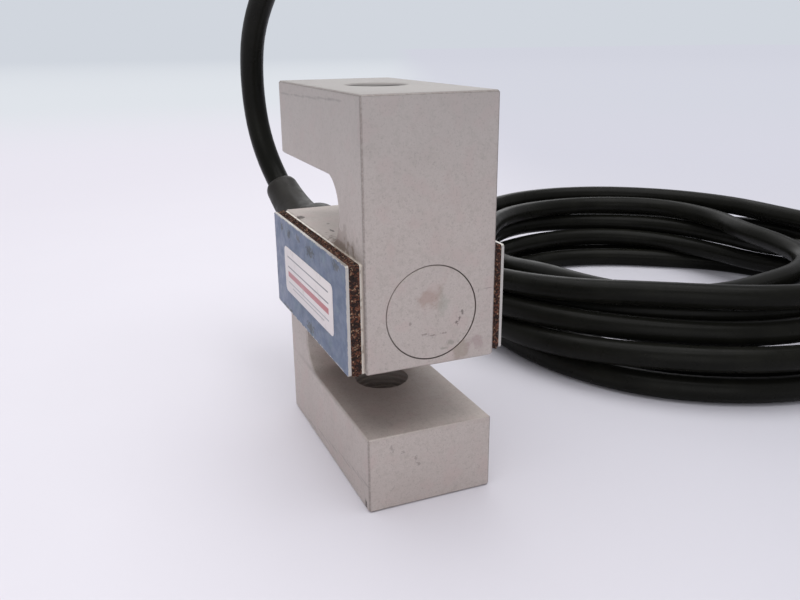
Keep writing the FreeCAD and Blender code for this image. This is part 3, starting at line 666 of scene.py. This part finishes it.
def loose_turns():
    radii = halfway([radius for turn in TURN_RADII for radius in turn])
    heights = halfway([height for turn in TURN_HEIGHTS for height in turn])
    step = math.pi / DIRECTIONS
    points = []
    for index, (radius, height) in enumerate(zip(radii, heights)):
        angle = COIL_TURN + (index + 2) * step
        points.append((COIL_CENTRE[0] + POLYGON_EXCESS * radius * math.cos(angle),
                       COIL_CENTRE[1] + POLYGON_EXCESS * radius * math.sin(angle),
                       max(height, CABLE_RADIUS)))
    return points


def cable_line(points):
    # Points along the smooth curve of a control polygon, and the control point each one belongs to
    middles = [points[0], *((points[1:-2] + points[2:-1]) / 2), points[-1]]
    line = []
    owners = []
    for index in range(1, len(points) - 1):
        share = np.arange(LINE_SAMPLES)[:, None] / LINE_SAMPLES
        line.append((1 - share) ** 2 * middles[index - 1] + 2 * share * (1 - share) * points[index]
                    + share ** 2 * middles[index])
        owners.append(index - 0.5 + share[:, 0])
    return np.vstack(line), np.concatenate(owners)


def settle(points, first, last):
    # Turns that lie too close are pushed a cable's diameter apart, and none sinks into the floor
    diameter = 2 * CABLE_RADIUS
    for _ in range(SETTLE_ROUNDS):
        line, owners = cable_line(points)
        offset = line[None] - line[:, None]
        distance = np.linalg.norm(offset, axis=2)
        apart = np.abs(owners[None] - owners[:, None]) > NEIGHBOURS
        one, other = np.nonzero(np.triu(apart & (distance < diameter)))
        if not len(one):
            break
        gap = distance[one, other]
        move = offset[one, other] * ((diameter - gap) / (2 * gap))[:, None]
        shift = np.zeros_like(points)
        count = np.zeros(len(points))
        for side, sign in ((one, -1), (other, 1)):
            index = np.round(owners[side]).astype(int)
            np.add.at(shift, index, sign * move)
            np.add.at(count, index, 1)
        shift /= np.maximum(count, 1)[:, None]
        shift[:first] = 0
        shift[last:] = 0
        eased = shift.copy()
        eased[1:-1] = 0.25 * shift[:-2] + 0.5 * shift[1:-1] + 0.25 * shift[2:]
        eased[:first] = 0
        eased[last:] = 0
        points = points + eased
        points[:, 2] = np.maximum(points[:, 2], CABLE_RADIUS)
    return points


def cable_points():
    points = np.array([*ROUTE, *loose_turns(), *(on_floor(*place) for place in TAIL)])
    return settle(points, len(ROUTE) - 2, len(points) - len(TAIL))


def smooth_curve(name, points, radius, sides=6, steps=6):
    # A round cord of one NURBS spline through control points given in millimetres
    data = bpy.data.curves.new(name, "CURVE")
    data.dimensions = "3D"
    spline = data.splines.new("NURBS")
    spline.points.add(len(points) - 1)
    for point, place in zip(spline.points, points):
        point.co = (*(float(value) * MM for value in place), 1.0)
    spline.order_u = 3
    spline.use_endpoint_u = True
    spline.resolution_u = steps
    data.bevel_depth = radius * MM
    data.bevel_resolution = sides
    data.use_fill_caps = True
    return link(bpy.data.objects.new(name, data))


def path_of(points):
    # Places along the smooth line of control points, in millimetres
    guide = smooth_curve("guide", points, 0.0, 0, PATH_STEPS)
    guide.data.use_fill_caps = False
    mesh = plain_mesh(guide, "guide")
    places = [vertex.co / MM for vertex in mesh.vertices]
    bpy.data.objects.remove(guide)
    bpy.data.meshes.remove(mesh)
    return places


def length_of(places):
    return sum((end - start).length for start, end in zip(places, places[1:]))


def walk(places, distance):
    # Place and heading at a distance along a path
    for start, end in zip(places, places[1:]):
        run = (end - start).length
        if distance <= run or end is places[-1]:
            heading = (end - start).normalized()
            return start + heading * distance, heading
        distance -= run


def outward_of(heading, angle):
    # The direction square to a heading at an angle round it
    side = heading.cross(Vector((0, 0, 1))).normalized()
    return side * math.cos(angle) + side.cross(heading) * math.sin(angle)


def ring_round(bm, centre, heading, radius, sides):
    angles = [2 * math.pi * step / sides for step in range(sides)]
    return [bm.verts.new((centre + outward_of(heading, angle) * radius) * MM) for angle in angles]


def skin(bm, loops):
    # Faces between each closed loop of vertices and the next
    for loop, following in zip(loops, loops[1:]):
        for step in range(len(loop)):
            after = (step + 1) % len(loop)
            bm.faces.new((loop[step], loop[after], following[after], following[step]))


def lathe_along(name, *shells):
    # A piece of closed shells turned round paths; profiles give distance along the path and radius
    bm = bmesh.new()
    for places, profile in shells:
        rings = [ring_round(bm, *walk(places, distance), radius, LATHE_SIDES)
                 for distance, radius in profile]
        skin(bm, rings + rings[:1])
    bmesh.ops.recalc_face_normals(bm, faces=bm.faces)
    return piece_from(name, bm, CRISP_ANGLE)


# Strain relief: a straight collar on the body, then a taper round the bending cable
COLLAR_LENGTH = 18.6
COLLAR_RADIUS = 7.3
TAPER_ROOT = 6.2
TAPER_TIP = 4.6
RELIEF_LENGTH = 53.0
RELIEF_ROUNDING = 2.5
RELIEF_LIP = 0.45
RELIEF_STEPS = 14
BORE_RADIUS = 3.22
SPIGOT_LENGTH = 6.0
SPIGOT_RADIUS = 5.4
COLLAR_MOUTH = 4.4
COLLAR_ROUNDING = 0.6


def rounding(first_angle, along, reach, radius, drop):
    # Profile places every 15 degrees round a quarter turn, from one radius down to a smaller one
    turns = [math.radians(angle) for angle in range(first_angle, 91, 15)]
    return [(along + reach * math.sin(turn), radius - drop + drop * math.cos(turn))
            for turn in turns]


def relief_taper():
    # Each shell is given as its path and its profile
    start = -HALF_LENGTH - ROUTE[0][0]
    taper_start = COLLAR_LENGTH + 1.0
    taper_end = RELIEF_LENGTH - RELIEF_ROUNDING
    profile = [(COLLAR_LENGTH - 1.5, BORE_RADIUS), (COLLAR_LENGTH - 1.5, TAPER_ROOT + 0.55),
               (COLLAR_LENGTH + 0.2, TAPER_ROOT + 0.45), (taper_start, TAPER_ROOT + 0.05)]
    for step in range(1, RELIEF_STEPS + 1):
        share = step / RELIEF_STEPS
        profile.append((taper_start + share * (taper_end - taper_start),
                        TAPER_ROOT + share * (TAPER_TIP - TAPER_ROOT)))
    drop = TAPER_TIP - BORE_RADIUS - RELIEF_LIP
    profile += rounding(15, taper_end, RELIEF_ROUNDING, TAPER_TIP, drop)
    profile.append((RELIEF_LENGTH - 0.15, BORE_RADIUS))
    for step in range(1, RELIEF_STEPS):
        share = step / RELIEF_STEPS
        profile.append((RELIEF_LENGTH - share * (RELIEF_LENGTH - COLLAR_LENGTH), BORE_RADIUS))
    return path_of(ROUTE), [(distance - start, radius) for distance, radius in profile]


def relief_collar():
    # The collar on the body's end, with the spigot that sits in the cable entry
    end = SPIGOT_LENGTH + COLLAR_LENGTH
    ends = [Vector((-HALF_LENGTH + SPIGOT_LENGTH, 0, MIDDLE_HEIGHT)),
            Vector((-HALF_LENGTH - COLLAR_LENGTH, 0, MIDDLE_HEIGHT))]
    profile = [(0, SPIGOT_RADIUS), (SPIGOT_LENGTH, SPIGOT_RADIUS),
               (SPIGOT_LENGTH, COLLAR_RADIUS - 0.2), (SPIGOT_LENGTH + 0.2, COLLAR_RADIUS)]
    profile += rounding(0, end - COLLAR_ROUNDING, COLLAR_ROUNDING, COLLAR_RADIUS, COLLAR_ROUNDING)
    profile += [(end, COLLAR_MOUTH), (0, BORE_RADIUS)]
    return ends, profile


# The stripped end: shrink sleeve, coloured leads with tinned tips, and the drain wire

SLEEVE_LENGTH = 16.0
SLEEVE_OVERHANG = 6.0
LEAD_PITCH = 1.9
LEAD_RADIUS = 0.65
DRAIN_RADIUS = 0.5
TIP_LENGTH = 6.0
# Stranded wire: strands, sides, steps in a turn; then the strand radius and lay of tips and drain
STRANDS = 7
STRAND_SIDES = 6
STRAND_STEPS = 10
TIP_RADIUS = 0.35
TIP_STRAND = (0.12, 4.0)
DRAIN_STRAND = (0.17, 6.0)
CORE_SHADES = {"red": ("#a3231f", "#b53a34"), "black": ("#1c1c1d", "#29292a"),
               "green": ("#1f6b3a", "#2d7c49"), "white": ("#dcd9d2", "#cbc7be")}
# Side and level where each lead leaves the sleeve, and how far it fans out on the floor
LEADS = [("red", 1, 1, 8.0), ("black", 1, -1, 3.4), ("green", -1, -1, -3.4), ("white", -1, 1, -8.0)]


def end_sleeve(end, heading):
    start = end - heading * (SLEEVE_LENGTH - SLEEVE_OVERHANG)
    places = [start, start + heading * SLEEVE_LENGTH]
    profile = [(0.0, 3.25), (0.15, 3.55), (1.2, 3.82), (4.0, 3.88), (8.5, 3.86), (9.8, 3.75),
               (11.0, 3.3), (12.5, 2.75), (14.5, 2.5), (15.8, 2.48), (16.0, 2.35), (15.8, 2.2),
               (11.0, 2.2), (10.0, BORE_RADIUS), (1.0, BORE_RADIUS)]
    return places, profile


def lead_points(start, heading, side, level, fan):
    sideways = Vector((-heading.y, heading.x, 0))
    pitch = LEAD_PITCH / 2
    first = start + sideways * (side * pitch) + Vector((0, 0, level * pitch))
    fall = Vector((0, 0, LEAD_RADIUS - start.z))
    points = [first - heading * 4, first + heading * 5]
    for distance, share in ((17, 0.6), (34, 0.85), (54, 1.0)):
        points.append(start + heading * distance + sideways * (fan * share) + fall)
    points[-1] = points[-1] + sideways * (0.2 * fan)
    return points


def twisted_strands(name, places, bundle_radius, strand_radius, lay):
    # Bare strands laid round a straight one along a path, one turn each lay
    bm = bmesh.new()
    total = length_of(places)
    steps = max(8, int(total / lay * STRAND_STEPS))
    for strand in range(STRANDS):
        rings = []
        for step in range(steps + 1):
            distance = total * step / steps
            centre, heading = walk(places, min(distance, total - 1e-4))
            if strand:
                turn = 2 * math.pi * (strand / (STRANDS - 1) + distance / lay)
                centre = centre + outward_of(heading, turn) * (bundle_radius - strand_radius)
            rings.append(ring_round(bm, centre, heading, strand_radius, STRAND_SIDES))
        skin(bm, rings)
        bm.faces.new(rings[0])
        bm.faces.new(rings[-1])
    bmesh.ops.recalc_face_normals(bm, faces=bm.faces)
    return piece_from(name, bm, 60)


# Cork granules on the gaskets' edges

GRANULES_PER_M2 = 5.0e6
GRANULE_RADIUS = 0.19
GRANULE_INSET = 0.25


def granule_tree():
    # Scatters small rough granules over a surface; its inputs are their number to the square metre,
    # their radius, the seed and the material
    tree, inputs = node_group("cork_granules", (
        ("Geometry", "Geometry", None), ("Density", "Float", GRANULES_PER_M2),
        ("Grain Radius", "Float", GRANULE_RADIUS * MM), ("Seed", "Int", 7),
        ("Material", "Material", None)))
    points = add(tree, "GeometryNodeDistributePointsOnFaces",
                 {"Mesh": inputs["Geometry"], "Density": inputs["Density"], "Seed": inputs["Seed"]})
    grain = add(tree, "GeometryNodeMeshIcoSphere",
                {"Radius": inputs["Grain Radius"], "Subdivisions": 2})
    size, turn = (
        add(tree, "FunctionNodeRandomValue", {0: low, 1: high, "Seed": inputs["Seed"]},
            data_type="FLOAT_VECTOR")
        for low, high in (((0.5, 0.5, 0.45), (1.25, 1.1, 1.0)), ((0, 0, 0), (6.28, 6.28, 6.28))))
    placed = add(tree, "GeometryNodeInstanceOnPoints",
                 {"Points": points.outputs["Points"], "Instance": grain.outputs["Mesh"],
                  "Rotation": turn.outputs[0], "Scale": size.outputs[0]})
    real = add(tree, "GeometryNodeRealizeInstances", {"Geometry": placed.outputs["Instances"]})
    painted = add(tree, "GeometryNodeSetMaterial", {"Geometry": real.outputs["Geometry"],
                                                    "Material": inputs["Material"]})
    add(tree, "NodeGroupOutput", {"Geometry": painted.outputs["Geometry"]})
    return tree


def cork_granules(side, tree, material, seed):
    # Granules that stand out of one gasket's cut edge, all the way round
    low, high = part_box(side + "_gasket")
    near = low[1] + GRANULE_INSET * MM
    far = high[1] - GRANULE_INSET * MM
    corners = [(low[0], low[2]), (high[0], low[2]), (high[0], high[2]), (low[0], high[2])]
    bm = bmesh.new()
    for (x, z), (next_x, next_z) in zip(corners, corners[1:] + corners[:1]):
        strip = ((x, near, z), (next_x, near, next_z), (next_x, far, next_z), (x, far, z))
        bm.faces.new([bm.verts.new(place) for place in strip])
    name = side + "_cork_granules"
    piece = piece_from(name, bm)
    modifier = piece.modifiers.new("granules", "NODES")
    modifier.node_group = tree
    sockets = {item.name: item.identifier
               for item in tree.interface.items_tree if item.in_out == "INPUT"}
    modifier[sockets["Seed"]] = seed
    modifier[sockets["Material"]] = material
    mesh = plain_mesh(piece, name)
    piece.modifiers.remove(modifier)
    piece.data = mesh
    mesh.shade_smooth()
    return piece


# Label field on the front cover

LABEL_LENGTH = 32.9
LABEL_HEIGHT = 10.0
LABEL_CORNER = 1.2
LABEL_THICKNESS = 0.1
LABEL_TILT = math.radians(0.3)
LABEL_PLACE = (0.35, 37.65)
CORNER_STEPS = 8


def label_centre():
    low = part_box("front_cover_plate")[0]
    return Vector((LABEL_PLACE[0] * MM, low[1], LABEL_PLACE[1] * MM))


def front_label():
    centre = label_centre()
    straight_x = LABEL_LENGTH / 2 - LABEL_CORNER
    straight_z = LABEL_HEIGHT / 2 - LABEL_CORNER
    outline = []
    for sign_x, sign_z, start in ((1, 1, 0), (-1, 1, 90), (-1, -1, 180), (1, -1, 270)):
        for step in range(CORNER_STEPS + 1):
            angle = math.radians(start + 90 * step / CORNER_STEPS)
            outline.append((sign_x * straight_x + LABEL_CORNER * math.cos(angle),
                            sign_z * straight_z + LABEL_CORNER * math.sin(angle)))
    bm = bmesh.new()
    loops = []
    for depth, inset in ((0.0, 0.0), (-0.6 * LABEL_THICKNESS, 0.0), (-LABEL_THICKNESS, 0.05)):
        loop = []
        for across, level in outline:
            x = across * (1 - inset / (LABEL_LENGTH / 2))
            z = level * (1 - inset / (LABEL_HEIGHT / 2))
            turned = Vector((x * math.cos(LABEL_TILT) - z * math.sin(LABEL_TILT), depth,
                             x * math.sin(LABEL_TILT) + z * math.cos(LABEL_TILT)))
            loop.append(bm.verts.new(centre + turned * MM))
        loops.append(loop)
    skin(bm, loops)
    bm.faces.new(loops[0])
    bm.faces.new(loops[-1])
    bmesh.ops.recalc_face_normals(bm, faces=bm.faces)
    return piece_from("front_label", bm, 40)


# Stage, light and camera

FLOOR_TONE = "#dddae1"
FLOOR_REACH = 6.0
BACKGROUND_TONE = "#d1d6de"
# Across the floor towards the coil's side
COIL_SIDE = (0.385, 0.923, 0.0)


def stage_floor():
    # A pale sheet with painted shade that darkens it a little on the coil's side; it runs out into
    # an even background
    bm = bmesh.new()
    bmesh.ops.create_grid(bm, x_segments=8, y_segments=8, size=FLOOR_REACH)
    floor = piece_from("floor", bm)
    finish = Finish("pale_floor", FLOOR_TONE, 0.75)
    distance = finish.length(finish.place)
    aside = finish.add("ShaderNodeVectorMath", {0: finish.place, 1: COIL_SIDE},
                       operation="DOT_PRODUCT")
    # Painted shade towards the coil's side, on the floor and on the background beyond it
    coil_side_shade = finish.ramp(aside.outputs["Value"], -0.04, 0.12)
    finish.mottle(60.0, 0.4, 0.7, "#dfdce3", 0.5, detail=4.0)
    finish.paint(coil_side_shade, "#cbcad2", 0.9)
    material = finish.done()
    finish.tint = finish.solid("#eae7f1")
    finish.paint(finish.ramp(distance, 0.4, 1.1), "#e0e4ea")
    finish.paint(finish.ramp(distance, 1.0, 4.0), BACKGROUND_TONE)
    # The same painted shade on the background
    finish.paint(coil_side_shade, "#d2d3df", 0.8)
    fade = finish.ramp(distance, 0.1, 0.5)
    far = finish.add("ShaderNodeEmission", {"Color": finish.tint, "Strength": 1.0}).outputs[0]
    mix = finish.add("ShaderNodeMixShader", {0: fade, 1: finish.shader.outputs[0], 2: far})
    tree = finish.tree
    tree.links.new(mix.outputs[0], tree.nodes["Material Output"].inputs["Surface"])
    floor.data.materials.append(material)


def studio_light():
    world = bpy.data.worlds.new("studio")
    bpy.context.scene.world = world
    world.use_nodes = True
    tree = world.node_tree
    tree.nodes.clear()
    ambient = add(tree, "ShaderNodeBackground", {"Color": colour("#e9e9ee"), "Strength": 0.62})
    seen = add(tree, "ShaderNodeBackground", {"Color": colour(BACKGROUND_TONE), "Strength": 1.0})
    rays = add(tree, "ShaderNodeLightPath")
    mix = add(tree, "ShaderNodeMixShader", {0: rays.outputs["Is Camera Ray"], 1: ambient.outputs[0],
                                            2: seen.outputs[0]})
    add(tree, "ShaderNodeOutputWorld", {"Surface": mix.outputs[0]})
    for name, place, reach, watts in (("overhead", (-0.05, 0.0, 0.9), 1.1, 6.6),
                                      ("behind", (-0.85, 0.3, 0.4), 0.8, 1.5),
                                      ("front_fill", (0.8, -0.35, 0.28), 0.8, 1.5)):
        data = bpy.data.lights.new(name, "AREA")
        data.shape = "DISK"
        data.size = reach
        data.energy = watts
        lamp = link(bpy.data.objects.new(name, data))
        lamp.location = place
        aim = Vector((0, 0, 0.04)) - lamp.location
        lamp.rotation_euler = aim.to_track_quat("-Z", "Y").to_euler()


# The camera: its place, where it looks, and its lens
CAMERA_PLACE = (144.79, -55.942, 84.527)
VIEW_AZIMUTH = math.radians(67.36)
VIEW_ELEVATION = math.radians(18.46)
VIEW_ROLL = math.radians(0.503)
LENS = 35.29


def place_camera():
    data = bpy.data.cameras.new("camera")
    data.sensor_width = 36.0
    data.lens = LENS
    data.clip_start = 0.01
    data.clip_end = 50.0
    camera = link(bpy.data.objects.new("camera", data))
    look = Vector((-math.sin(VIEW_AZIMUTH) * math.cos(VIEW_ELEVATION),
                   math.cos(VIEW_AZIMUTH) * math.cos(VIEW_ELEVATION), -math.sin(VIEW_ELEVATION)))
    level = look.cross(Vector((0, 0, 1))).normalized()
    right = Matrix.Rotation(VIEW_ROLL, 3, look) @ level
    up = right.cross(look)
    turn = Matrix((right, up, -look)).transposed().to_4x4()
    camera.matrix_world = Matrix.Translation(millimetres(*CAMERA_PLACE)) @ turn
    bpy.context.scene.camera = camera


# Assembly

def paint_piece(piece, material):
    piece.data.materials.clear()
    piece.data.materials.append(material)
    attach(piece, BODY)


def build_cable():
    points = cable_points()
    tinned = small_finish("tinned_copper", "#b9b6b0", "#8f8b84", 0.4, 0.32, 1.0)
    cable = smooth_curve("cable", points, CABLE_RADIUS)
    paint_piece(cable, cable_jacket())
    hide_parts("cable_tube", "cable_coil", "cable_tail")
    relief = lathe_along("strain_relief_boot", relief_taper(), relief_collar())
    paint_piece(relief, moulded_rubber())
    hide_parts("strain_relief")
    end = Vector(on_floor(*TAIL[-1]))
    heading = (end - Vector(on_floor(*TAIL[-2]))).normalized()
    sleeve = lathe_along("shrink_sleeve", end_sleeve(end, heading))
    paint_piece(sleeve, shrunk_tubing())
    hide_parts("cable_end_sleeve")
    start = end + heading * SLEEVE_OVERHANG
    extras = [relief, sleeve]
    tips = []
    for name, side, level, fan in LEADS:
        route = lead_points(start, heading, side, level, fan)
        lead = smooth_curve(name + "_lead", route, LEAD_RADIUS, 4, 10)
        insulation = small_finish(name + "_insulation", *CORE_SHADES[name], 3.0, 0.35)
        paint_piece(lead, insulation)
        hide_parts("lead_" + name)
        tip_heading = (route[-1] - route[-2]).normalized()
        tip_path = [route[-1] - tip_heading * 0.5, route[-1] + tip_heading * TIP_LENGTH]
        tips.append(twisted_strands(name + "_tip", tip_path, TIP_RADIUS, *TIP_STRAND))
        extras.append(lead)
    for tip in tips:
        paint_piece(tip, tinned)
    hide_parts("lead_tips")
    sideways = Vector((-heading.y, heading.x, 0))
    fall = Vector((0, 0, DRAIN_RADIUS - start.z))
    drain_route = [start - heading * 3, start + heading * 5,
                   start + heading * 18 + sideways * 0.8 + fall,
                   start + heading * 34 - sideways * 0.6 + fall]
    drain = twisted_strands("drain", path_of(drain_route), DRAIN_RADIUS, *DRAIN_STRAND)
    paint_piece(drain, tinned)
    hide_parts("drain_wire")
    extras += [*tips, drain]
    length = round(length_of(path_of(points)) * MM, 3)


def build_body():
    body = threaded_body()
    paint_piece(body, clear_anodised_aluminium())
    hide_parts("spring_element")
    dress(["end_plug"], turned_aluminium())
    for side in ("front", "rear"):
        dress([side + "_cover_plate"], blue_cover(side))
    dress(both("barrier_foil"), barrier_foil())
    cork = cork_composition()
    dress(both("gasket"), cork)
    tree = granule_tree()
    for seed, side in enumerate(("front", "rear"), start=7):
        paint_piece(cork_granules(side, tree, cork, seed), cork)
    label = front_label()
    paint_piece(label, label_print(label_centre(), LABEL_TILT))


def dress_inner_pieces():
    dress(both("gauge_left") + both("gauge_right"),
          small_finish("gauge_film", "#c58a3c", "#b0762d", 0.6, 0.4))
    dress(both("terminal_strip"),
          small_finish("tinned_terminals", "#b9713f", "#c9c4bb", 0.9, 0.35, 0.8))
    dress(both("potting"), small_finish("potting_silicone", "#b9b8b0", "#a9a79e", 2.0, 0.3))
    dress(both("bridge_wires") + ["balance_winding"],
          small_finish("enamelled_wire", "#8c4a24", "#a35c30", 0.5, 0.3, 0.8))
    for name, shades in CORE_SHADES.items():
        dress(["inner_conductor_" + name], small_finish(name + "_core", *shades, 2.0, 0.35))
    dress(["compensation_board"], small_finish("board_laminate", "#4d6b38", "#5c7a45", 0.8, 0.45))
    dress(["balance_spool"], small_finish("spool_plastic", "#cfc9b8", "#bdb6a4", 0.8, 0.5))
    dress(["span_resistors"], small_finish("resistor_coat", "#27324a", "#34405a", 0.7, 0.4))
    dress(["cable_ferrule"], small_finish("brass_ferrule", "#b59a5a", "#a0854a", 0.8, 0.35, 1.0))


bpy.context.scene.view_settings.view_transform = "Standard"
place_camera()
build_cable()
build_body()
dress_inner_pieces()
stage_floor()
studio_light()
